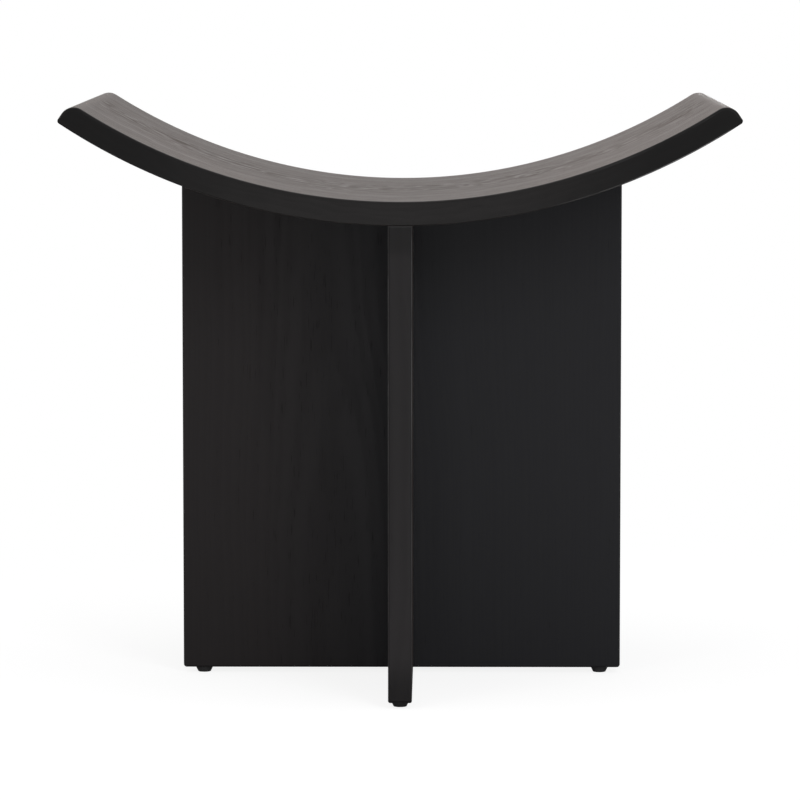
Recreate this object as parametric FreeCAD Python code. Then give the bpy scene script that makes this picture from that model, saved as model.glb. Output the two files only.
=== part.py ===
import FreeCAD, Part
import math
import os

from FreeCAD import Vector

# Stool with a bent seat on two upright panels that cross each other.
# Millimetres. +Z is up, +X runs along the seat from end to end, the front faces -Y.
# The origin is on the floor, under the line where the two panels cross.

# Seat: one bent-laminated board
seat_width = 512.0  # between the lower corners of the raised ends, before they are rounded
seat_depth = 380.0  # front face to back face
seat_thickness = 18.0
seat_underside_radius = 462.0  # bend of the underside
seat_underside_height = 364.4  # floor to the lowest line of the underside
seat_end_round = 11.0  # upper edge of each raised end
seat_tip_round = 2.4  # lower edge of each raised end
seat_upper_easing = 2.2  # arris round the upper surface
seat_lower_chamfer = 0.6  # sanded edge round the underside

# Upright panels
panel_thickness = 18.0
wide_panel_width = 345.0
cross_panel_setback = 0.3  # from the seat's front and back faces
cross_panel_top_chamfer = 0.9  # on its two ends, just below the seat
panel_easing = 1.6  # arris round the free edges
panel_corner_radius = 2.4  # lower corners, seen from the face
lap_height = 186.0  # floor to the line where the two slots meet
lap_clearance = 0.1  # at each side of a slot

# Fluted dowels between seat and panels
dowel_diameter = 8.0
dowel_length = 36.0
dowel_in_seat = 10.5  # length of the dowel above the joint
dowel_flutes = 12
dowel_flute_depth = 0.4
dowel_clearance = 0.05  # round the dowel, taken up by glue
dowel_glue_room = 1.5  # beyond each end of the dowel
wide_dowel_inner = 58.0  # from the middle of the wide panel
wide_dowel_inset = 34.0  # from the end of the wide panel
cross_dowel_inner = 62.0  # from the middle of the cross panel
cross_dowel_inset = 38.0  # from the end of the cross panel

# Glides: a plastic cap moulded round the head of a nail
glide_height = 4.5
glide_upper_diameter = 14.2
glide_foot_diameter = 9.8
glide_inset = 16.0  # from the end of the panel
nail_diameter = 2.0
nail_head_diameter = 6.0
nail_head_height = 0.9
nail_head_cover = 1.8  # plastic below the nail head
nail_depth = 15.0  # length driven into the panel
nail_point = 2.6  # length of the four-sided point

# Heights and lengths that follow from the sizes above
bend_axis_height = seat_underside_height + seat_underside_radius
seat_top_radius = seat_underside_radius - seat_thickness
seat_end_angle = math.asin(seat_width / 2 / seat_underside_radius)
cross_panel_length = seat_depth - 2 * cross_panel_setback

TOUCH = 1e-4  # two points closer than this are the same point


def bend_point(radius, angle):
    """Point of the seat's profile at an angle from the middle of the bend."""
    return Vector(radius * math.sin(angle), 0, bend_axis_height - radius * math.cos(angle))


def underside_height(x):
    """Height of the seat's underside at a distance from the middle."""
    return bend_axis_height - math.sqrt(seat_underside_radius**2 - x**2)


def line(start, end):
    return Part.makeLine(start, end)


def arc(start, middle, end):
    return Part.Arc(start, middle, end).toShape()


def mirrored(point):
    return Vector(-point.x, point.y, point.z)


def upright_rod(diameter, length, x, y, z):
    return Part.makeCylinder(diameter / 2, length, Vector(x, y, z))


def revolved(points):
    """Solid of revolution about Z from (radius, height) points."""
    outline = [Vector(radius, 0, height) for radius, height in points]
    face = Part.Face(Part.makePolygon(outline + outline[:1]))
    return face.revolve(Vector(0, 0, 0), Vector(0, 0, 1), 360)


def seat_profile():
    """Closed outline of the seat, seen from the front."""
    # The end round touches the upper surface and the square-cut end.
    round_radius = seat_top_radius + seat_end_round
    round_angle = math.asin(seat_end_round / round_radius)
    tip = bend_point(seat_underside_radius, seat_end_angle)
    wall_top = bend_point(round_radius * math.cos(round_angle), seat_end_angle)
    round_start = bend_point(seat_top_radius, seat_end_angle - round_angle)
    round_centre = bend_point(round_radius, seat_end_angle - round_angle)
    outward = (wall_top - round_centre) + (round_start - round_centre)
    round_middle = round_centre + outward.normalize() * seat_end_round

    underside_middle = bend_point(seat_underside_radius, 0)
    top_middle = bend_point(seat_top_radius, 0)
    return Part.Wire(
        [
            arc(mirrored(tip), underside_middle, tip),
            line(tip, wall_top),
            arc(wall_top, round_middle, round_start),
            arc(round_start, top_middle, mirrored(round_start)),
            arc(mirrored(round_start), mirrored(round_middle), mirrored(wall_top)),
            line(mirrored(wall_top), mirrored(tip)),
        ]
    )


def is_underside(shape):
    """True for an edge or a face that lies on the seat's underside."""
    for vertex in shape.Vertexes:
        reach = math.hypot(vertex.X, vertex.Z - bend_axis_height)
        if abs(reach - seat_underside_radius) > TOUCH:
            return False
    return True


def runs_across(edge, direction):
    """True for an edge that lies in one plane square to the direction."""
    places = [vertex.Point.dot(direction) for vertex in edge.Vertexes]
    return max(places) - min(places) < TOUCH


def tip_waste():
    """Bar along the lower edge of the right end, hollowed to the round that it leaves."""
    reach = seat_underside_radius - seat_tip_round
    turn = math.asin(seat_tip_round / reach)
    centre = bend_point(reach, seat_end_angle - turn)
    on_underside = bend_point(seat_underside_radius, seat_end_angle - turn)
    on_end = bend_point(reach * math.cos(turn), seat_end_angle)
    down = on_underside - centre
    outward = on_end - centre
    round_middle = centre + (down + outward).normalize() * seat_tip_round
    outline = Part.Wire(
        [
            arc(on_end, round_middle, on_underside),
            line(on_underside, on_underside + down),
            line(on_underside + down, on_underside + down + outward * 2),
            line(on_underside + down + outward * 2, on_end + outward),
            line(on_end + outward, on_end),
        ]
    )
    bar = Part.Face(outline).extrude(Vector(0, 2 * seat_depth, 0))
    bar.translate(Vector(0, -seat_depth, 0))
    return bar


def make_seat():
    board = Part.Face(seat_profile()).extrude(Vector(0, seat_depth, 0))
    board.translate(Vector(0, -seat_depth / 2, 0))

    rim = [e for e in board.Edges if runs_across(e, Vector(0, 1, 0)) and not is_underside(e)]
    board = board.makeFillet(seat_upper_easing, rim)

    underside = [f for f in board.Faces if is_underside(f)]
    board = board.makeChamfer(seat_lower_chamfer, underside[0].Edges)

    right = tip_waste()
    left = right.mirror(Vector(0, 0, 0), Vector(1, 0, 0))
    return board.cut([left, right])


def make_panel(length, top):
    """Upright board along X with eased free edges and an uncut upper edge."""
    half = length / 2
    bend = panel_corner_radius
    base = glide_height
    shoulder = bend * math.sqrt(0.5)
    upper = Vector(half, 0, top)
    side_end = Vector(half, 0, base + bend)
    corner = Vector(half - bend + shoulder, 0, base + bend - shoulder)
    base_end = Vector(half - bend, 0, base)
    outline = Part.Wire(
        [
            line(upper, side_end),
            arc(side_end, corner, base_end),
            line(base_end, mirrored(base_end)),
            arc(mirrored(base_end), mirrored(corner), mirrored(side_end)),
            line(mirrored(side_end), mirrored(upper)),
            line(mirrored(upper), upper),
        ]
    )
    board = Part.Face(outline).extrude(Vector(0, panel_thickness, 0))
    board.translate(Vector(0, -panel_thickness / 2, 0))

    free = []
    for edge in board.Edges:
        at_top = all(abs(v.Z - top) < TOUCH for v in edge.Vertexes)
        if runs_across(edge, Vector(0, 1, 0)) and not at_top:
            free.append(edge)
    return board.makeFillet(panel_easing, free)


def seat_room():
    """The space from the seat's underside upwards, to which panel tops are cut."""
    length = 2 * seat_depth
    start = Vector(0, -length / 2, bend_axis_height)
    return Part.makeCylinder(seat_underside_radius, length, start, Vector(0, 1, 0))


def lap_slot(bottom, top):
    """Upright slot through both faces of a panel that lies along X."""
    width = panel_thickness + 2 * lap_clearance
    depth = 2 * panel_thickness
    return Part.makeBox(width, depth, top - bottom, Vector(-width / 2, -depth / 2, bottom))


def make_wide_panel():
    spare = seat_thickness / 2
    top = underside_height(wide_panel_width / 2) + spare
    panel = make_panel(wide_panel_width, top)
    panel = panel.cut(seat_room())
    return panel.cut(lap_slot(lap_height, top))


def top_wedge(side):
    """Bar that chamfers the top of the cross panel's front end (side -1) or back end (side 1)."""
    width = 2 * panel_thickness
    size = 4 * cross_panel_top_chamfer
    middle = cross_panel_top_chamfer / 2
    end = cross_panel_length / 2
    wedge = Part.makeBox(width, size, size, Vector(-width / 2, -size / 2, 0))
    wedge.rotate(Vector(0, 0, 0), Vector(1, 0, 0), -45 * side)
    wedge.translate(Vector(0, side * (end - middle), seat_underside_height - middle))
    return wedge


def make_cross_panel():
    spare = seat_thickness / 2
    top = underside_height(panel_thickness / 2) + spare
    panel = make_panel(cross_panel_length, top)
    panel = panel.cut(lap_slot(0, lap_height))
    panel.rotate(Vector(0, 0, 0), Vector(0, 0, 1), 90)
    panel = panel.cut(seat_room())
    return panel.cut([top_wedge(-1), top_wedge(1)])


def make_dowel(x, y):
    """Fluted dowel, upright across the joint between seat and panel."""
    radius = dowel_diameter / 2
    # A square bar standing on its edge cuts one V-shaped flute.
    bar = Part.makeBox(radius, radius, dowel_length)
    bar.rotate(Vector(0, 0, 0), Vector(0, 0, 1), -45)
    bar.translate(Vector(radius - dowel_flute_depth, 0, 0))
    flutes = []
    for number in range(dowel_flutes):
        flute = bar.copy()
        flute.rotate(Vector(0, 0, 0), Vector(0, 0, 1), 360 * number / dowel_flutes)
        flutes.append(flute)
    dowel = Part.makeCylinder(radius, dowel_length).cut(flutes)
    dowel.translate(Vector(x, y, dowel_foot(x)))
    return dowel


def dowel_foot(x):
    """Height of the dowel's lower end."""
    return underside_height(x) + dowel_in_seat - dowel_length


def dowel_hole(x, y):
    """Room for a dowel, in the seat and in the panel together."""
    diameter = dowel_diameter + 2 * dowel_clearance
    length = dowel_length + 2 * dowel_glue_room
    return upright_rod(diameter, length, x, y, dowel_foot(x) - dowel_glue_room)


def make_glide(x, y):
    """Plastic cap with the room for a nail head inside."""
    shank = nail_diameter / 2
    head = nail_head_diameter / 2
    head_top = nail_head_cover + nail_head_height
    cap = revolved(
        [
            (0, 0),
            (glide_foot_diameter / 2, 0),
            (glide_upper_diameter / 2, glide_height),
            (shank, glide_height),
            (shank, head_top),
            (head, head_top),
            (head, nail_head_cover),
            (0, nail_head_cover),
        ]
    )
    cap.translate(Vector(x, y, 0))
    return cap


def make_nail(x, y):
    """Wire nail, head down in its glide, with a four-sided point."""
    shank = nail_diameter / 2
    head = nail_head_diameter / 2
    head_top = nail_head_cover + nail_head_height
    tip = glide_height + nail_depth
    nail = revolved(
        [
            (0, nail_head_cover),
            (head, nail_head_cover),
            (head, head_top),
            (shank, head_top),
            (shank, tip),
            (0, tip),
        ]
    )
    lean = math.degrees(math.atan2(shank, nail_point))
    flats = []
    for turn in (0, 90, 180, 270):
        start = Vector(0, -nail_diameter, -2 * nail_point)
        flat = Part.makeBox(nail_diameter, 2 * nail_diameter, 3 * nail_point, start)
        flat.rotate(Vector(0, 0, 0), Vector(0, 1, 0), -lean)
        flat.rotate(Vector(0, 0, 0), Vector(0, 0, 1), turn)
        flat.translate(Vector(0, 0, tip))
        flats.append(flat)
    nail = nail.cut(flats)
    nail.translate(Vector(x, y, 0))
    return nail


def nail_hole(x, y):
    """Room for a nail in the bottom edge of a panel."""
    return upright_rod(nail_diameter, nail_depth, x, y, glide_height)


# Where the dowels and the glides stand
wide_dowel_outer = wide_panel_width / 2 - wide_dowel_inset
cross_dowel_outer = cross_panel_length / 2 - cross_dowel_inset
wide_dowels = {
    "dowel_wide_left_outer": (-wide_dowel_outer, 0),
    "dowel_wide_left_inner": (-wide_dowel_inner, 0),
    "dowel_wide_right_inner": (wide_dowel_inner, 0),
    "dowel_wide_right_outer": (wide_dowel_outer, 0),
}
cross_dowels = {
    "dowel_cross_front_outer": (0, -cross_dowel_outer),
    "dowel_cross_front_inner": (0, -cross_dowel_inner),
    "dowel_cross_back_inner": (0, cross_dowel_inner),
    "dowel_cross_back_outer": (0, cross_dowel_outer),
}
wide_reach = wide_panel_width / 2 - glide_inset
cross_reach = cross_panel_length / 2 - glide_inset
wide_glides = {"left": (-wide_reach, 0), "right": (wide_reach, 0)}
cross_glides = {"front": (0, -cross_reach), "back": (0, cross_reach)}

# Nodes: each piece as one solid
nodes = {}

seat_holes = [dowel_hole(x, y) for x, y in list(wide_dowels.values()) + list(cross_dowels.values())]
nodes["seat"] = make_seat().cut(seat_holes)

wide_holes = [dowel_hole(x, y) for x, y in wide_dowels.values()]
wide_holes += [nail_hole(x, y) for x, y in wide_glides.values()]
nodes["wide_panel"] = make_wide_panel().cut(wide_holes)

cross_holes = [dowel_hole(x, y) for x, y in cross_dowels.values()]
cross_holes += [nail_hole(x, y) for x, y in cross_glides.values()]
nodes["cross_panel"] = make_cross_panel().cut(cross_holes)

for name, (x, y) in list(wide_dowels.items()) + list(cross_dowels.items()):
    nodes[name] = make_dowel(x, y)

for place, (x, y) in list(wide_glides.items()) + list(cross_glides.items()):
    nodes["glide_" + place] = make_glide(x, y)
    nodes["glide_nail_" + place] = make_nail(x, y)

os.makedirs("parts", exist_ok=True)
for name, shape in nodes.items():
    if len(shape.Solids) != 1 or not shape.isValid():
        raise ValueError(name + " is not one valid solid")
    solid = shape.Solids[0]
    solid.exportStep("parts/" + name + ".step")
    box = solid.BoundBox
    print(name, [round(v, 2) for v in (box.XLength, box.YLength, box.ZLength)], round(solid.Volume))
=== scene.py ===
import math

import bmesh
import bpy
from mathutils import Matrix, Vector


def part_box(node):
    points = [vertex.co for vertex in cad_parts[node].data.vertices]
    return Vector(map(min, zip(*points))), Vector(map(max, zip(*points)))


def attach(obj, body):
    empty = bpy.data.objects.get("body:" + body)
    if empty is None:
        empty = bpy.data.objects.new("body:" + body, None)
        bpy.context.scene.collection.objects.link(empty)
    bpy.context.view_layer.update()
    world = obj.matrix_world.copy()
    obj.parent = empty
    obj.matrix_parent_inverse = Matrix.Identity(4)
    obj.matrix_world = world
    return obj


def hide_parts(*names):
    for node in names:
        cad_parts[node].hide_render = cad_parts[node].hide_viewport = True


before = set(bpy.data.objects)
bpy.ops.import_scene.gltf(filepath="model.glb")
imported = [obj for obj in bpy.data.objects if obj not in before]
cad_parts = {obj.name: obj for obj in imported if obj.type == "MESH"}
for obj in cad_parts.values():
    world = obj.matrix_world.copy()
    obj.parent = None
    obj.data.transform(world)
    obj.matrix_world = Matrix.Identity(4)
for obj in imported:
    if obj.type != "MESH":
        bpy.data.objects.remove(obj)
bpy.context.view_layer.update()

# Looks of a stool with a bent seat on two crossed panels, all in black-stained open-grain wood.
# Metres, in the frame of the solids: +Z up, +X along the seat, the front faces -Y.

# Seat
SEAT_THICKNESS = 0.018
SEAT_WIDTH = 0.512  # between the lower corners of the raised ends, before they are rounded
SEAT_UNDERSIDE_RADIUS = 0.462
SEAT_END_ROUND = 0.011
SEAT_TIP_ROUND = 0.0024
SEAT_UPPER_EASING = 0.0022
SEAT_LOWER_EASING = 0.0009
EASING_GROWTH = 1.4  # up each end wall, where the lower easing widens to the upper one

# Panels
PANEL_EASING = 0.0016
PANEL_CORNER_RADIUS = 0.0024
CROSS_TOP_RADIUS = 0.0009  # on the cross panel's ends, under the seat
LAP_HEIGHT = 0.186  # floor to the line where the two slots meet
LAP_CLEARANCE = 0.0001

# Holes for the dowels and the nails
DOWEL_CLEARANCE = 0.00005
DOWEL_GLUE_ROOM = 0.0015
NAIL_DIAMETER = 0.002
NAIL_DEPTH = 0.015

# Glides
GLIDE_FOOT_DIAMETER = 0.0098
GLIDE_FOOT_ROUND = 0.0007
GLIDE_FOOT_RING = 0.5  # in the flat of the foot, as a share of its radius
GLIDE_RIM_ROUND = 0.0003
GLIDE_RIM_SHARES = ((0.5, 0.3), (1.5, 0.0))  # of the round: in from the rim, down from the top
NAIL_HEAD_DIAMETER = 0.006
NAIL_HEAD_HEIGHT = 0.0009
NAIL_HEAD_COVER = 0.0018

# Mesh steps
EASING_STEPS = 6
SEAT_ARC_STEPS = 56  # over half of the seat
SEAT_DEPTH_STEPS = 14
SEAT_TIP_STEPS = 4
SEAT_WALL_STEPS = 4
PANEL_TOP_STEPS = 28
PANEL_DEPTH_STEPS = 4
ROUND_STEPS = 10
SMALL_ROUND_STEPS = 5
HOLE_SIDES = 32
GLIDE_SIDES = 64
SHARP_ANGLE = math.radians(38)
WELD_DISTANCE = 1e-6
LEAST_EDGE = 1e-7

# Grain, in waves per metre across the board, through it and along it
DRIFT_WAVES = (4.0, 4.0, 1.8)
RIPPLE_WAVES = (26.0, 26.0, 19.0)
RAGGED_WAVES = (260.0, 260.0, 40.0)
PORE_WAVES = (1100.0, 1100.0, 60.0)
FIBRE_WAVES = (900.0, 900.0, 24.0)
STREAK_WAVES = (60.0, 60.0, 30.0)
MOTTLE_WAVES = (9.0, 9.0, 4.0)
RUB_AND_HIGHLIGHT_WAVES = (55.0, 55.0, 22.0)

# Finish, and the light and shade painted on the wood
PITH_WANDER = (0.03, 0.03, 0.0)
HEART_EDGE = (0.02, 0.11)  # across the grain from the pith
LIT_TINT_JOIN = (-0.13, 0.03)  # across the wide panel, where its warm-lit stain meets the cool-lit copy: a painted lamp tint
LIT_TOP_WIDTH = 0.00139  # of the painted highlight, down from the cross panel's upper edge
LIT_TOP_BLEND = 0.0006
SAWN_BLEND = 0.003
SAWN_ROUGHNESS = 0.37
SAWN_RELIEF = 0.4
SANDED_LENGTH = 0.01876  # at each end of the seat
SANDED_BLEND = 0.015
SANDED_ROUGHNESS = 0.42
SANDED_RELIEF = 0.3
WOOD_IOR = 1.19  # a very matt stain
WOOD_SHEEN_ROUGHNESS = 0.35  # fibres that catch grazing light
WOOD_SHEEN_TINT = (1.0, 0.71, 0.58, 1.0)
NYLON_IOR = 1.30

# Studio
FLOOR_REACH = 20.0
FLOOR_TONE = 0.6  # as it lights the object
SHADOW_REACH = 0.9  # from the middle of the floor
SHADOW_TONE = 0.25  # share of the seen floor that takes light and shadow
SHADOW_GLOW = 0.85
WORLD_STRENGTH = 0.38

# Camera, in the photograph's place
CAMERA_PLACE = (0.0275, -3.6647, 0.5647)
CAMERA_PITCH = math.radians(5.4345)  # below the horizon
CAMERA_YAW = math.radians(0.4526)  # towards the left
CAMERA_LENS = 210.0  # millimetres, for a sensor 36 mm wide
SENSOR_WIDTH = 36.0

# Heights and sizes from the frame
seat_low, seat_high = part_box("seat")
wide_low, wide_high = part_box("wide_panel")
cross_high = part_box("cross_panel")[1]
bend_axis_height = seat_low.z + SEAT_UNDERSIDE_RADIUS
seat_top_radius = SEAT_UNDERSIDE_RADIUS - SEAT_THICKNESS
seat_end_angle = math.asin(SEAT_WIDTH / 2 / SEAT_UNDERSIDE_RADIUS)
panel_foot = wide_low.z
panel_half_thickness = wide_high.y
slot_half_width = panel_half_thickness + LAP_CLEARANCE


# Outlines
# An outline point is (place across, height, inward direction, easing). Only the right half is
# listed, from the middle to the middle, and the left half mirrors it.


def bend_point(radius, angle):
    """Place in the seat's profile at an angle from the middle of the bend."""
    return Vector((radius * math.sin(angle), bend_axis_height - radius * math.cos(angle)))


def underside_height(x):
    """Height of the seat's underside at a distance from the middle."""
    return bend_axis_height - math.sqrt(SEAT_UNDERSIDE_RADIUS**2 - x**2)


def spread(start, end, steps):
    """Evenly spaced values from start to end, both included."""
    return [start + (end - start) * step / steps for step in range(steps + 1)]


def round_points(centre, radius, start, end, steps, easing):
    """Outline points on an arc, between two directions given in radians from the horizontal."""
    points = []
    for angle in spread(start, end, steps):
        outward = Vector((math.cos(angle), math.sin(angle)))
        points.append((centre + outward * radius, -outward, easing))
    return points


def seat_outline():
    """Half outline of the seat."""
    round_radius = seat_top_radius + SEAT_END_ROUND
    round_angle = math.asin(SEAT_END_ROUND / round_radius)
    tip_radius = SEAT_UNDERSIDE_RADIUS - SEAT_TIP_ROUND
    tip_angle = math.asin(SEAT_TIP_ROUND / tip_radius)
    upper_end = seat_end_angle - round_angle
    lower_end = seat_end_angle - tip_angle

    outline = []
    underside = spread(0, upper_end, SEAT_ARC_STEPS)
    underside += spread(upper_end, lower_end, SEAT_TIP_STEPS)[1:-1]
    for angle in underside:
        inward = Vector((-math.sin(angle), math.cos(angle)))
        outline.append((bend_point(SEAT_UNDERSIDE_RADIUS, angle), inward, SEAT_LOWER_EASING))

    tip_centre = bend_point(tip_radius, lower_end)
    down = lower_end - math.pi / 2
    outline += round_points(
        tip_centre, SEAT_TIP_ROUND, down, seat_end_angle, SMALL_ROUND_STEPS, SEAT_LOWER_EASING
    )

    wall_low = tip_radius * math.cos(tip_angle)
    wall_high = round_radius * math.cos(round_angle)
    outward = Vector((math.cos(seat_end_angle), math.sin(seat_end_angle)))
    gain = SEAT_UPPER_EASING - SEAT_LOWER_EASING
    for share in spread(0, 1, SEAT_WALL_STEPS)[1:-1]:
        radius = wall_low + (wall_high - wall_low) * share
        easing = SEAT_LOWER_EASING + gain * min(1, share * EASING_GROWTH)
        outline.append((bend_point(radius, seat_end_angle), -outward, easing))

    round_centre = bend_point(round_radius, upper_end)
    up = upper_end + math.pi / 2
    outline += round_points(
        round_centre, SEAT_END_ROUND, seat_end_angle, up, ROUND_STEPS, SEAT_UPPER_EASING
    )

    for angle in spread(upper_end, 0, SEAT_ARC_STEPS)[1:]:
        inward = Vector((math.sin(angle), -math.cos(angle)))
        outline.append((bend_point(seat_top_radius, angle), inward, SEAT_UPPER_EASING))
    return outline


def lower_corner(half):
    """Points of a panel's rounded lower corner, from its base to its side."""
    centre = Vector((half - PANEL_CORNER_RADIUS, panel_foot + PANEL_CORNER_RADIUS))
    return round_points(
        centre, PANEL_CORNER_RADIUS, -math.pi / 2, 0, SMALL_ROUND_STEPS, PANEL_EASING
    )


def wide_panel_outline():
    """Half outline of the wide panel, with the slot that opens at its top."""
    half = wide_high.x
    top = Vector((half, underside_height(half)))
    eased = Vector((half - PANEL_EASING, underside_height(half - PANEL_EASING)))
    still = Vector((0, 0))

    outline = [(Vector((0, panel_foot)), Vector((0, 1)), PANEL_EASING)]
    outline += lower_corner(half)
    outline.append((top, (eased - top) / PANEL_EASING, PANEL_EASING))
    for x in spread(eased.x, slot_half_width, PANEL_TOP_STEPS):
        outline.append((Vector((x, underside_height(x))), still, 0))
    outline.append((Vector((slot_half_width, LAP_HEIGHT)), still, 0))
    outline.append((Vector((0, LAP_HEIGHT)), still, 0))
    return outline


def cross_panel_outline():
    """Half outline of the cross panel, with the slot that opens at its base."""
    half = cross_high.y
    top = cross_high.z
    still = Vector((0, 0))
    outline = [
        (Vector((0, LAP_HEIGHT)), still, 0),
        (Vector((slot_half_width, LAP_HEIGHT)), still, 0),
        (Vector((slot_half_width, panel_foot + PANEL_EASING)), still, 0),
        (Vector((slot_half_width, panel_foot)), Vector((0, 1)), PANEL_EASING),
    ]
    outline += lower_corner(half)
    centre = Vector((half - CROSS_TOP_RADIUS, top - CROSS_TOP_RADIUS))
    for place, inward, easing in round_points(
        centre, CROSS_TOP_RADIUS, 0, math.pi / 2, SMALL_ROUND_STEPS, PANEL_EASING
    ):
        outline.append((place, Vector((inward.x, 0)), easing))
    outline.append((Vector((half - PANEL_EASING, top)), still, 0))
    outline.append((Vector((0, top)), still, 0))
    return outline


# Meshes


def both_halves(outline):
    """The whole outline as a ring, from its right half."""
    ring = list(outline)
    for place, inward, easing in reversed(outline[1:-1]):
        ring.append((Vector((-place.x, place.y)), Vector((-inward.x, inward.y)), easing))
    return ring


def half_face(outline):
    """One face over half of an outline."""
    return [list(range(len(outline)))]


def seat_faces(outline):
    """Faces between the underside and the upper surface, and one at the raised end."""
    last = len(outline) - 1
    faces = [[i, i + 1, last - i - 1, last - i] for i in range(SEAT_ARC_STEPS)]
    faces.append(list(range(SEAT_ARC_STEPS, last - SEAT_ARC_STEPS + 1)))
    return faces


def board_mesh(name, outline, faces, half_thickness, depth_steps, put):
    """Closed board with eased edges. put(across, height, depth) gives a place in the frame."""
    ring = both_halves(outline)
    count = len(ring)
    turns = spread(0, math.pi / 2, EASING_STEPS)

    # A layer is (depth, change of depth, inset), the last two as shares of the easing.
    layers = []
    for turn in turns:
        layers.append((half_thickness, math.cos(turn) - 1, 1 - math.sin(turn)))
    inner = half_thickness - SEAT_UPPER_EASING  # the widest easing
    for depth in spread(inner, -inner, depth_steps)[1:-1]:
        layers.append((depth, 0, 0))
    for turn in reversed(turns):
        layers.append((-half_thickness, 1 - math.cos(turn), 1 - math.sin(turn)))

    bm = bmesh.new()
    arris = bm.verts.layers.float.new("arris")
    rows = []
    for depth, change, inset in layers:
        row = []
        for place, inward, easing in ring:
            spot = place + inward * easing * inset
            vert = bm.verts.new(put(spot.x, spot.y, depth + change * easing))
            # Strength of the arrises' lighter tone, rub and painted highlight, strongest inside the
            # easing.
            vert[arris] = math.sin(math.pi * inset**3) if easing else 0
            row.append(vert)
        rows.append(row)

    for near, far in zip(rows, rows[1:]):
        for i in range(count):
            bm.faces.new((near[i], near[(i + 1) % count], far[(i + 1) % count], far[i]))
    for row in (rows[0], rows[-1]):
        for face in faces:
            bm.faces.new([row[i] for i in face])
            bm.faces.new([row[-i % count] for i in face])

    bmesh.ops.remove_doubles(bm, verts=bm.verts, dist=WELD_DISTANCE)
    bmesh.ops.dissolve_degenerate(bm, edges=bm.edges, dist=LEAST_EDGE)
    bmesh.ops.recalc_face_normals(bm, faces=bm.faces)
    mesh = bpy.data.meshes.new(name)
    bm.to_mesh(mesh)
    bm.free()
    return mesh


def linked(name, mesh):
    piece = bpy.data.objects.new(name, mesh)
    bpy.context.scene.collection.objects.link(piece)
    return piece


def drill(piece, holes):
    """Cuts upright holes, each given as (x, y, lower end, upper end, diameter)."""
    bm = bmesh.new()
    for x, y, low, high, diameter in holes:
        bmesh.ops.create_cone(
            bm,
            cap_ends=True,
            segments=HOLE_SIDES,
            radius1=diameter / 2,
            radius2=diameter / 2,
            depth=high - low,
            matrix=Matrix.Translation((x, y, (low + high) / 2)),
        )
    mesh = bpy.data.meshes.new("drill")
    bm.to_mesh(mesh)
    bm.free()
    cutter = linked("drill", mesh)
    cut = piece.modifiers.new("Holes", "BOOLEAN")
    cut.operation = "DIFFERENCE"
    cut.solver = "EXACT"
    cut.object = cutter
    bpy.context.view_layer.update()
    graph = bpy.context.evaluated_depsgraph_get()
    piece.data = bpy.data.meshes.new_from_object(piece.evaluated_get(graph))
    piece.modifiers.clear()
    bpy.data.objects.remove(cutter)


def dowel_holes(row):
    """Holes for the dowels whose names start with these words."""
    holes = []
    for name in sorted(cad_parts):
        if name.startswith(row):
            low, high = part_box(name)
            middle = (low + high) / 2
            diameter = high.x - low.x + 2 * DOWEL_CLEARANCE
            holes.append(
                (middle.x, middle.y, low.z - DOWEL_GLUE_ROOM, high.z + DOWEL_GLUE_ROOM, diameter)
            )
    return holes


def nail_holes(*places):
    """Holes for the nails of these glides."""
    holes = []
    for place in places:
        low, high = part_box("glide_nail_" + place)
        middle = (low + high) / 2
        holes.append((middle.x, middle.y, panel_foot - NAIL_DEPTH, high.z, NAIL_DIAMETER))
    return holes


def set_grain(piece, grain_of):
    """Stores each point's place in the wood: across the grain, through the board, along the grain."""
    mesh = piece.data
    grain = mesh.attributes.new("grain", "FLOAT_VECTOR", "POINT")
    values = []
    for vert in mesh.vertices:
        values.extend(grain_of(vert.co))
    grain.data.foreach_set("vector", values)


def smooth(piece):
    """Smooth shading that keeps flat faces flat and sharp edges sharp."""
    piece.data.shade_smooth()
    piece.data.set_sharp_from_angle(angle=SHARP_ANGLE)
    weighted = piece.modifiers.new("Normals", "WEIGHTED_NORMAL")
    weighted.keep_sharp = True


def finish_piece(piece, material, node):
    """Gives a piece its material and puts it in the place of a solid."""
    piece.data.materials.append(material)
    smooth(piece)
    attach(piece, "root")
    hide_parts(node)


def seen_from_front(across, height, depth):
    """Place in the frame of a point on a board that faces the front."""
    return Vector((across, depth, height))


def seen_from_side(across, height, depth):
    """The same for a board that faces the side, no higher than the seat's underside."""
    return Vector((depth, across, min(height, underside_height(depth))))


def seat_grain(place):
    """Place in the wood of the seat, laid flat."""
    reach = bend_axis_height - place.z
    radius = math.hypot(place.x, reach)
    along = math.atan2(place.x, reach) * seat_top_radius
    return (place.y, radius - seat_top_radius, along)


def make_seat(material):
    outline = seat_outline()
    mesh = board_mesh(
        "seat_board",
        outline,
        seat_faces(outline),
        seat_high.y,
        SEAT_DEPTH_STEPS,
        seen_from_front,
    )
    piece = linked("seat_board", mesh)
    drill(piece, dowel_holes("dowel_"))
    set_grain(piece, seat_grain)
    finish_piece(piece, material, "seat")


def make_wide_panel(material):
    outline = wide_panel_outline()
    mesh = board_mesh(
        "wide_panel_board",
        outline,
        half_face(outline),
        panel_half_thickness,
        PANEL_DEPTH_STEPS,
        seen_from_front,
    )
    piece = linked("wide_panel_board", mesh)
    drill(piece, dowel_holes("dowel_wide") + nail_holes("left", "right"))
    set_grain(piece, lambda place: (place.x, place.y, place.z))
    finish_piece(piece, material, "wide_panel")


def make_cross_panel(material):
    outline = cross_panel_outline()
    mesh = board_mesh(
        "cross_panel_board",
        outline,
        half_face(outline),
        panel_half_thickness,
        PANEL_DEPTH_STEPS,
        seen_from_side,
    )
    piece = linked("cross_panel_board", mesh)
    drill(piece, dowel_holes("dowel_cross") + nail_holes("front", "back"))
    set_grain(piece, lambda place: (place.y, place.x, place.z))
    finish_piece(piece, material, "cross_panel")


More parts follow.
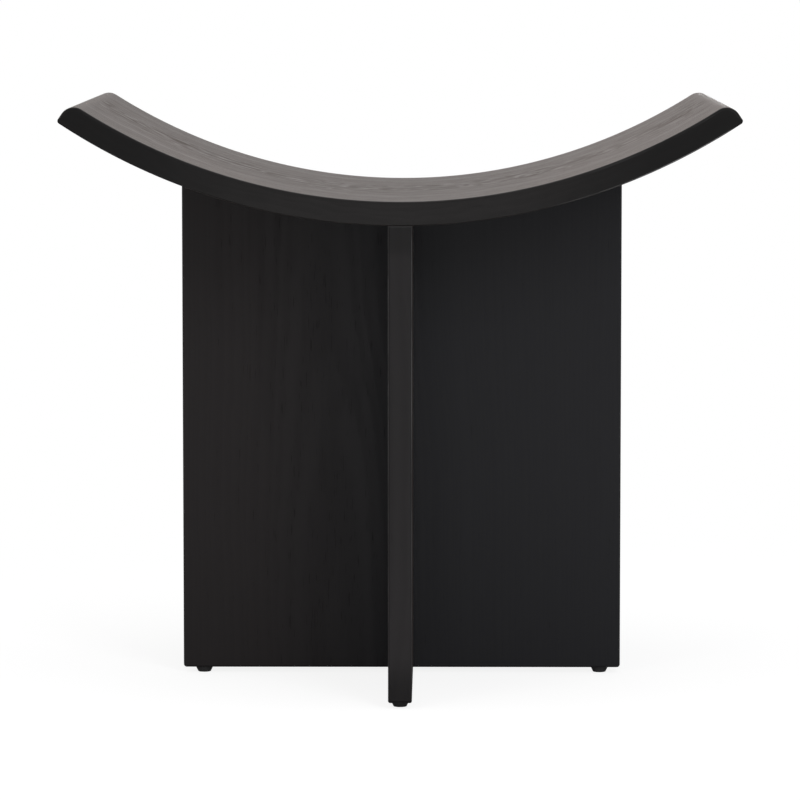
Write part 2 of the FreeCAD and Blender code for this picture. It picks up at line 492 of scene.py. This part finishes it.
def glide_profile(height, upper_radius):
    """(radius, height) points of a glide, from its foot round to the room for the nail's head."""
    foot = GLIDE_FOOT_DIAMETER / 2
    shank = NAIL_DIAMETER / 2
    head = NAIL_HEAD_DIAMETER / 2
    head_top = NAIL_HEAD_COVER + NAIL_HEAD_HEIGHT
    lean = math.atan2(upper_radius - foot, height)

    # The foot's round is tangent to the floor and to the sloping side.
    points = [(0, 0), (foot * GLIDE_FOOT_RING, 0)]
    inset = GLIDE_FOOT_ROUND * math.tan((math.pi / 2 - lean) / 2)
    centre = Vector((foot - inset, GLIDE_FOOT_ROUND))
    for turn in spread(-math.pi / 2, -lean, SMALL_ROUND_STEPS):
        spot = centre + Vector((math.cos(turn), math.sin(turn))) * GLIDE_FOOT_ROUND
        points.append((spot.x, spot.y))
    shoulder = upper_radius - GLIDE_RIM_ROUND * math.tan(lean)
    points.append((shoulder, height - GLIDE_RIM_ROUND))
    for across, down in GLIDE_RIM_SHARES:
        points.append((upper_radius - GLIDE_RIM_ROUND * across, height - GLIDE_RIM_ROUND * down))
    points += [(shank, height), (shank, head_top), (head, head_top), (head, NAIL_HEAD_COVER)]
    points.append((0, NAIL_HEAD_COVER))
    return points


def make_glide(place, material):
    """Turned cap under the end of a panel."""
    node = "glide_" + place
    low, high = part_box(node)
    middle = (low + high) / 2
    bm = bmesh.new()
    verts = []
    for radius, height in glide_profile(high.z, (high.x - low.x) / 2):
        verts.append(bm.verts.new((middle.x + radius, middle.y, height)))
    edges = [bm.edges.new(pair) for pair in zip(verts, verts[1:])]
    bmesh.ops.spin(
        bm,
        geom=verts + edges,
        cent=(middle.x, middle.y, 0),
        axis=(0, 0, 1),
        angle=2 * math.pi,
        steps=GLIDE_SIDES,
    )
    bmesh.ops.remove_doubles(bm, verts=bm.verts, dist=WELD_DISTANCE)
    bmesh.ops.recalc_face_normals(bm, faces=bm.faces)
    mesh = bpy.data.meshes.new(node + "_cap")
    bm.to_mesh(mesh)
    bm.free()
    piece = linked(node + "_cap", mesh)
    finish_piece(piece, material, node)


# Materials


class Shading:
    """Nodes of one material or world, added and linked by plain calls."""

    def __init__(self, owner):
        owner.use_nodes = True
        self.owner = owner
        self.tree = owner.node_tree
        self.tree.nodes.clear()

    def add(self, kind, inputs=None, **settings):
        node = self.tree.nodes.new(kind)
        for key, value in settings.items():
            setattr(node, key, value)
        for key, value in (inputs or {}).items():
            if isinstance(value, bpy.types.NodeSocket):
                self.tree.links.new(value, node.inputs[key])
            else:
                node.inputs[key].default_value = value
        return node

    def math(self, operation, first, second=0.0, third=0.0):
        inputs = {0: first, 1: second, 2: third}
        return self.add("ShaderNodeMath", inputs, operation=operation).outputs[0]

    def vector(self, operation, first, second):
        inputs = {0: first, 1: second}
        return self.add("ShaderNodeVectorMath", inputs, operation=operation).outputs["Vector"]

    def scaled(self, vector, factor):
        inputs = {"Vector": vector, "Scale": factor}
        return self.add("ShaderNodeVectorMath", inputs, operation="SCALE").outputs["Vector"]

    def length(self, vector):
        return self.add("ShaderNodeVectorMath", {0: vector}, operation="LENGTH").outputs["Value"]

    def parts(self, vector):
        """The three numbers of a vector."""
        return self.add("ShaderNodeSeparateXYZ", {0: vector}).outputs

    def total(self, start, *shares):
        """The start, plus each value times its weight."""
        for value, weight in shares:
            start = self.math("MULTIPLY_ADD", value, weight, start)
        return start

    def noise(self, place, density, detail=2.0, roughness=0.5, output="Fac"):
        """Noise with so many waves per metre along each axis."""
        vector = self.vector("MULTIPLY", place, density)
        inputs = {"Vector": vector, "Scale": 1.0, "Detail": detail, "Roughness": roughness}
        return self.add("ShaderNodeTexNoise", inputs).outputs[output]

    def remap(self, value, start, end, low=0.0, high=1.0):
        inputs = {"Value": value, 1: start, 2: end, 3: low, 4: high}
        return self.add("ShaderNodeMapRange", inputs, interpolation_type="SMOOTHSTEP").outputs[0]

    def blend(self, share, first, second):
        inputs = {0: share, 6: first, 7: second}
        return self.add("ShaderNodeMix", inputs, data_type="RGBA").outputs[2]

    def mixed(self, share, first, second):
        """Two shaders mixed."""
        return self.add("ShaderNodeMixShader", {0: share, 1: first, 2: second}).outputs[0]

    def bump(self, height, strength, distance):
        inputs = {"Strength": strength, "Distance": distance, "Height": height}
        return self.add("ShaderNodeBump", inputs).outputs["Normal"]

    def principled(self, **inputs):
        """Ends the material in one shader, whose inputs are named with underscores for spaces."""
        named = {key.replace("_", " "): value for key, value in inputs.items()}
        return self.surface(self.add("ShaderNodeBsdfPrincipled", named).outputs["BSDF"])

    def surface(self, shader, output="ShaderNodeOutputMaterial"):
        self.add(output, {"Surface": shader})
        return self.owner


def new_material(name):
    return Shading(bpy.data.materials.new(name))


def tone(red, green, blue):
    return (red, green, blue, 1.0)


def grey(level):
    return tone(level, level, level)


def pith_offset(wood, place, grain, pith, ripple):
    """Offset from a pith line that wanders along the tree, with ripples in the rings about it."""
    drift = wood.noise(grain, DRIFT_WAVES, output="Color")
    wander = wood.vector("MULTIPLY", wood.vector("SUBTRACT", drift, (0.5, 0.5, 0.5)), PITH_WANDER)
    if ripple:
        wave = wood.noise(grain, RIPPLE_WAVES)
        wander = wood.vector("ADD", wander, wood.scaled((0.0, ripple, 0.0), wave))
    return wood.vector("ADD", wood.vector("SUBTRACT", place, pith), wander)


def growth_rings(wood, off, grain, ring_width):
    """Share of early wood, in rings about the pith."""
    reach = wood.length(wood.vector("MULTIPLY", off, (1.0, 1.0, 0.0)))
    years = wood.math("DIVIDE", reach, ring_width)
    good_years = wood.add("ShaderNodeTexNoise", {"W": years, "Scale": 0.31}, noise_dimensions="1D")
    ragged = wood.noise(grain, RAGGED_WAVES, detail=3.0)
    ring = wood.math("FRACT", wood.total(years, (good_years.outputs["Fac"], 2.6), (ragged, 0.7)))
    return wood.math("MULTIPLY", wood.remap(ring, 0.0, 0.12), wood.remap(ring, 0.25, 0.85, 1.0, 0.0))


def smoothed(wood, share, rough, to_rough, relief, to_relief):
    """Roughness and relief of wood, where a share of its surface has been smoothed."""
    rough = wood.total(rough, (share, wood.math("SUBTRACT", to_rough, rough)))
    relief = wood.math("MULTIPLY", relief, wood.remap(share, 0.0, 1.0, 1.0, to_relief))
    return rough, relief


def stained_wood(
    name,
    pith,
    ring_width,
    shift,
    figure,
    flame,
    sheen,
    stain,
    ripple=0.0,
    right_cool_lit_stain=None,
    painted_shade=(),
    rub_and_highlight_tone=0.021,
    arris_highlight_along=None,
    arris_highlight_through=None,
    lit_top=None,
    sawn=None,
    sawn_shaded_stain=None,
    sanded=None,
):
    """Black-stained open-grain wood.

    pith is a point on the middle line of the tree, and shift tells one board's noise from another's.
    figure is the contrast of the grain, flame the waves per metre of its ticks, and ripple the height
    of the ripples in its rings. right_cool_lit_stain is a cooler copy of stain for a board's right
    half, a
    painted lamp tint: warm-lit on the left, cool-lit on the right. deeper lists places along the grain
    where painted shade begins and where it is full, each with the share of the tone that is left. worn
    is the place along the grain where the painted arris highlight begins, where it is full, and the
    share elsewhere; arris_highlight_through says the same through the board. lit_top is the height
    where a painted highlight along the upper edge begins. sawn is the distance from the middle where a
    smooth sawn side begins, which has sawn_shaded_stain, a darker copy of the stain as painted shade,
    and alone gets the painted shade of deeper. sanded is the place along the grain where smoothly
    sanded ends begin.
    """
    wood = new_material(name)
    place = wood.add("ShaderNodeAttribute", attribute_name="grain").outputs["Vector"]
    arris = wood.add("ShaderNodeAttribute", attribute_name="arris").outputs["Fac"]
    across, through, along = wood.parts(place)
    reach = wood.math("ABSOLUTE", along)
    grain = wood.vector("ADD", place, shift)
    off = pith_offset(wood, place, grain, pith, ripple)
    heart = wood.remap(wood.math("ABSOLUTE", wood.parts(off)[0]), *HEART_EDGE, 1.0, 0.0)
    early = growth_rings(wood, off, grain, ring_width)

    # Pores are long narrow cells, crowded in the early wood and near the heart of the tree.
    cells = wood.noise(grain, PORE_WAVES, detail=1.0)
    pores = wood.remap(wood.total(cells, (early, 0.06), (heart, 0.08)), 0.77, 0.84)
    ticks = wood.math("MULTIPLY", heart, wood.remap(wood.noise(grain, flame, detail=3.0), 0.54, 0.66))
    fibre = wood.noise(grain, FIBRE_WAVES, detail=3.0, roughness=0.6)
    streak = wood.noise(grain, STREAK_WAVES, detail=4.0, roughness=0.65)
    mottle = wood.noise(grain, MOTTLE_WAVES)

    # The stain is darker in the early wood and the pores.
    body = stain
    # A painted lamp tint: the right half takes a cooler copy of the stain, as if lit cool from the
    # right, and the left a warmer one.
    if right_cool_lit_stain:
        body = wood.blend(wood.remap(across, *LIT_TINT_JOIN), tone(*stain), tone(*right_cool_lit_stain))
    # The sawn sides take a darker copy of the same wood's stain: painted shade.
    if sawn:
        side = wood.remap(wood.math("ABSOLUTE", across), sawn - SAWN_BLEND, sawn)
        body = wood.blend(side, tone(*stain), tone(*sawn_shaded_stain))
    depth = wood.total(
        1.0 - 0.65 * figure,
        (fibre, 0.5 * figure),
        (streak, 0.6 * figure),
        (mottle, 0.3 * figure),
        (early, -0.20 * figure),
        (ticks, -0.25 * figure),
        (pores, -0.25 - 0.30 * figure),
    )
    # Painted shade: the tone is darkened along the grain where the light falls off. It is not a deeper
    # stain.
    for start, end, left in painted_shade:
        share = wood.remap(reach, start, end, 1.0, left)
        if sawn:
            share = wood.total(1.0, (side, wood.math("SUBTRACT", share, 1.0)))
        depth = wood.math("MULTIPLY", depth, share)
    colour = wood.scaled(body, depth)

    # The arrises take a lighter tone, partly stain rubbed thin and partly a painted highlight where
    # lamps catch them, except where the ends are sanded.
    rub_and_highlight_patches = wood.noise(grain, RUB_AND_HIGHLIGHT_WAVES, detail=4.0, roughness=0.6)
    rub_and_highlight = wood.math("MULTIPLY", arris, wood.remap(rub_and_highlight_patches, 0.36, 0.62, 0.15, 0.9))
    # Painted highlight: these masks keep the lighter arris tone where lamps catch it, on the seat's
    # lower right arris and on the cross panel's right arris and upper part.
    if arris_highlight_along:
        for axis, (start, end, least) in ((along, arris_highlight_along), (through, arris_highlight_through)):
            rub_and_highlight = wood.math("MULTIPLY", rub_and_highlight, wood.remap(axis, start, end, least, 1.0))
    # A painted highlight along the cross panel's upper edge, added to the arris tone.
    if lit_top:
        rub_and_highlight = wood.total(rub_and_highlight, (wood.remap(along, lit_top, lit_top + LIT_TOP_BLEND), 0.09))
    if sanded:
        ends = wood.remap(reach, sanded, sanded + SANDED_BLEND)
        rub_and_highlight = wood.math("MULTIPLY", rub_and_highlight, wood.math("SUBTRACT", 1.0, ends))
    colour = wood.blend(wood.math("MULTIPLY", rub_and_highlight, 0.8), colour, grey(rub_and_highlight_tone))

    rough = wood.total(
        0.42 - 0.15 * figure,
        (fibre, 0.10 * figure),
        (streak, 0.12 * figure),
        (early, 0.15 * figure),
        (ticks, 0.12 * figure),
        (pores, 0.20),
        (rub_and_highlight, -0.14),
    )
    relief = wood.total(0.0, (fibre, 0.35), (streak, 0.3), (early, -0.35), (pores, -1.0))
    if sawn:
        rough, relief = smoothed(wood, side, rough, SAWN_ROUGHNESS, relief, SAWN_RELIEF)
    if sanded:
        rough, relief = smoothed(wood, ends, rough, SANDED_ROUGHNESS, relief, SANDED_RELIEF)
    return wood.principled(
        Base_Color=colour,
        Roughness=rough,
        IOR=WOOD_IOR,
        Normal=wood.bump(relief, 0.35 * figure, 0.00015),
        Sheen_Weight=sheen,
        Sheen_Roughness=WOOD_SHEEN_ROUGHNESS,
        Sheen_Tint=WOOD_SHEEN_TINT,
    )


def moulded_nylon():
    """Black nylon with a fine moulded texture."""
    nylon = new_material("glide_nylon")
    place = nylon.add("ShaderNodeTexCoord").outputs["Object"]
    fine = nylon.noise(place, (2600.0, 2600.0, 2600.0), detail=3.0)
    broad = nylon.noise(place, (240.0, 240.0, 240.0))
    return nylon.principled(
        Base_Color=nylon.blend(broad, tone(0.0240, 0.0236, 0.0240), tone(0.0340, 0.0336, 0.0340)),
        Roughness=nylon.total(0.36, (fine, 0.20), (broad, 0.10)),
        IOR=NYLON_IOR,
        Normal=nylon.bump(fine, 0.3, 0.00005),
    )


def bare_beech():
    """Beech with fine grain along the dowel and short dark flecks."""
    beech = new_material("dowel_beech")
    place = beech.add("ShaderNodeTexCoord").outputs["Object"]
    streak = beech.noise(place, (900.0, 900.0, 40.0), detail=3.0)
    flecks = beech.remap(beech.noise(place, (2400.0, 2400.0, 420.0), detail=1.0), 0.62, 0.70)
    colour = beech.blend(streak, tone(0.52, 0.32, 0.165), tone(0.38, 0.21, 0.100))
    return beech.principled(
        Base_Color=beech.blend(beech.math("MULTIPLY", flecks, 0.6), colour, tone(0.20, 0.095, 0.042)),
        Roughness=beech.total(0.52, (streak, 0.16)),
        Normal=beech.bump(beech.total(streak, (flecks, -0.5)), 0.3, 0.0001),
    )


def drawn_steel():
    """Bright wire with fine lengthwise drawing marks."""
    steel = new_material("nail_steel")
    place = steel.add("ShaderNodeTexCoord").outputs["Object"]
    marks = steel.noise(place, (5200.0, 5200.0, 60.0))
    dull = steel.noise(place, (420.0, 420.0, 180.0), detail=3.0)
    return steel.principled(
        Base_Color=steel.blend(dull, tone(0.60, 0.60, 0.59), tone(0.44, 0.44, 0.44)),
        Metallic=1.0,
        Roughness=steel.total(0.18, (marks, 0.18), (dull, 0.14)),
        Normal=steel.bump(marks, 0.2, 0.00003),
    )


# Stage


def seen_directly(shading):
    """1 for rays that show the background itself: camera, glossy and transmission rays."""
    path = shading.add("ShaderNodeLightPath")
    seen = shading.math("MAXIMUM", path.outputs["Is Camera Ray"], path.outputs["Is Glossy Ray"])
    return shading.math("MAXIMUM", seen, path.outputs["Is Transmission Ray"])


def floor_material():
    """Pale floor that shows as white, with the object's soft shadow near its foot."""
    floor = new_material("pale_floor")
    place = floor.add("ShaderNodeTexCoord").outputs["Object"]
    away = floor.remap(floor.length(place), SHADOW_REACH / 2, SHADOW_REACH)
    path = floor.add("ShaderNodeLightPath").outputs
    direct = floor.math("MAXIMUM", path["Is Camera Ray"], path["Is Transmission Ray"])
    plain = floor.add("ShaderNodeBsdfDiffuse", {"Color": grey(FLOOR_TONE)}).outputs[0]
    shade = floor.add("ShaderNodeBsdfDiffuse", {"Color": grey(SHADOW_TONE)}).outputs[0]
    glow = floor.add("ShaderNodeEmission", {"Strength": SHADOW_GLOW}).outputs[0]
    white = floor.add("ShaderNodeEmission", {"Strength": 1.0}).outputs[0]
    bright = floor.add("ShaderNodeAddShader", {0: shade, 1: glow}).outputs[0]
    near = floor.mixed(direct, plain, bright)
    far = floor.mixed(seen_directly(floor), plain, white)
    material = floor.surface(floor.mixed(away, near, far))
    material.cycles.emission_sampling = "NONE"
    return material


def make_floor():
    mesh = bpy.data.meshes.new("floor")
    reach = FLOOR_REACH
    corners = [(-reach, -reach, 0), (reach, -reach, 0), (reach, reach, 0), (-reach, reach, 0)]
    mesh.from_pydata(corners, [], [(0, 1, 2, 3)])
    mesh.materials.append(floor_material())
    linked("floor", mesh)


def make_world():
    """Even studio surroundings, white where they are seen."""
    world = Shading(bpy.data.worlds.new("studio"))
    dim = world.add("ShaderNodeBackground", {"Color": grey(1), "Strength": WORLD_STRENGTH}).outputs[0]
    white = world.add("ShaderNodeBackground", {"Color": grey(1), "Strength": 1.0}).outputs[0]
    shown = world.mixed(seen_directly(world), dim, white)
    bpy.context.scene.world = world.surface(shown, "ShaderNodeOutputWorld")


def make_lamp(name, place, target, width, height, power, colour):
    light = bpy.data.lights.new(name, "AREA")
    light.shape = "RECTANGLE"
    light.size = width
    light.size_y = height
    light.energy = power
    light.color = colour
    lamp = bpy.data.objects.new(name, light)
    bpy.context.scene.collection.objects.link(lamp)
    lamp.location = place
    lamp.rotation_euler = (Vector(target) - Vector(place)).to_track_quat("-Z", "Y").to_euler()
    lamp.visible_camera = False


def make_camera():
    lens = bpy.data.cameras.new("camera")
    lens.lens = CAMERA_LENS
    lens.sensor_width = SENSOR_WIDTH
    lens.dof.use_dof = False
    camera = bpy.data.objects.new("camera", lens)
    bpy.context.scene.collection.objects.link(camera)
    camera.location = CAMERA_PLACE
    camera.rotation_euler = (math.pi / 2 - CAMERA_PITCH, 0, CAMERA_YAW)
    bpy.context.scene.camera = camera


# The object
make_seat(
    stained_wood(
        "seat_stained_wood",
        pith=(0.01, 0.13, 0),
        ring_width=0.0037,
        shift=(0.3, 0.1, 0.7),
        figure=1.0,
        flame=(120.0, 120.0, 22.0),
        sheen=0.1105,
        stain=(0.0190, 0.0172, 0.0168),
        ripple=0.030,
        # Painted shade on the seat's sawn front, darker towards its ends.
        painted_shade=((0.07, 0.21, 0.32),),
        # Painted highlight on the seat's lower right arris, partly rub.
        rub_and_highlight_tone=0.30,
        arris_highlight_along=(0.10, 0.17, 0.06),
        arris_highlight_through=(0.006, 0.012, 0.1),
        sawn=seat_high.y - SAWN_BLEND,
        # Painted shade: the sawn sides' stain is a darker copy of the top's.
        sawn_shaded_stain=(0.0089, 0.0081, 0.0080),
        sanded=seat_end_angle * seat_top_radius - SANDED_LENGTH,
    )
)
make_wide_panel(
    stained_wood(
        "wide_panel_stained_wood",
        pith=(-0.06, 0.10, 0),
        ring_width=0.0034,
        shift=(1.1, 0.4, 1.9),
        figure=0.25,
        flame=(75.0, 75.0, 7.0),
        sheen=0.02,
        # Painted lamp tint: warm-lit stain on the left half, cool-lit copy on the right.
        stain=(0.0148, 0.0127, 0.0130),
        right_cool_lit_stain=(0.0129, 0.0129, 0.0146),
    )
)
make_cross_panel(
    stained_wood(
        "cross_panel_stained_wood",
        pith=(0.05, 0.12, 0),
        ring_width=0.0038,
        shift=(2.3, 0.8, 3.1),
        figure=0.25,
        flame=(75.0, 75.0, 7.0),
        sheen=0.02,
        stain=(0.0164, 0.0148, 0.0154),
        # Painted shade on the cross panel: darker at its foot, over its upper part, and most just
        # under the seat.
        painted_shade=((0.042, 0.012, 0.55), (0.04, 0.20, 0.68), (0.338, 0.350, 0.55)),
        # Painted highlight on the cross panel's arrises, brighter on the right and towards the top,
        # partly rub.
        rub_and_highlight_tone=0.22,
        arris_highlight_along=(0.12, 0.26, 0.45),
        arris_highlight_through=(-0.008, 0.008, 0.8),
        lit_top=cross_high.z - LIT_TOP_WIDTH,
    )
)

nylon = moulded_nylon()
for place in ("left", "right", "front", "back"):
    make_glide(place, nylon)

beech = bare_beech()
steel = drawn_steel()
for name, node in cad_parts.items():
    if name.startswith(("dowel_", "glide_nail_")):
        node.data.materials.clear()
        node.data.materials.append(beech if name.startswith("dowel_") else steel)

# The studio
bpy.context.scene.view_settings.view_transform = "Standard"
make_floor()
make_world()
make_lamp("overhead", (0.0, -0.3, 2.6), (0, 0, 0.2), 2.4, 2.0, 20.0, (1.0, 1.0, 1.0))
make_lamp("key", (0.966, -2.17, 1.257), (0, 0, 0.2), 0.8, 0.8, 18.2, (0.95, 0.97, 1.0))
make_lamp("fill", (-1.362, -1.946, 1.257), (0, 0, 0.2), 0.8, 0.8, 7.6, (1.0, 0.95, 0.92))
make_lamp("front_low", (0.03, -1.2, 0.06), (0.03, 0, 0.06), 0.12, 0.08, 0.85, (1.0, 1.0, 1.0))
make_lamp("front_high", (0.03, -1.2, 0.30), (0.03, 0, 0.30), 0.12, 0.08, 0.30, (1.0, 1.0, 1.0))
make_lamp("front_left", (-0.15, -1.2, 0.38), (-0.15, 0, 0.38), 0.12, 0.08, 0.28, (1.0, 1.0, 1.0))
make_lamp("right_strip", (1.7, -1.9, 0.1), (0, 0, 0.25), 0.12, 0.2, 4.0, (1.0, 1.0, 1.0))
make_lamp("left_strip", (-1.6, -1.9, 0.2), (0, 0, 0.25), 0.12, 0.15, 1.5, (1.0, 1.0, 1.0))
make_lamp("rim", (0.425, 3.0, 0.51), (0.25, 0, 0.45), 0.20, 0.14, 1.5, (1.0, 0.99, 0.98))
make_camera()
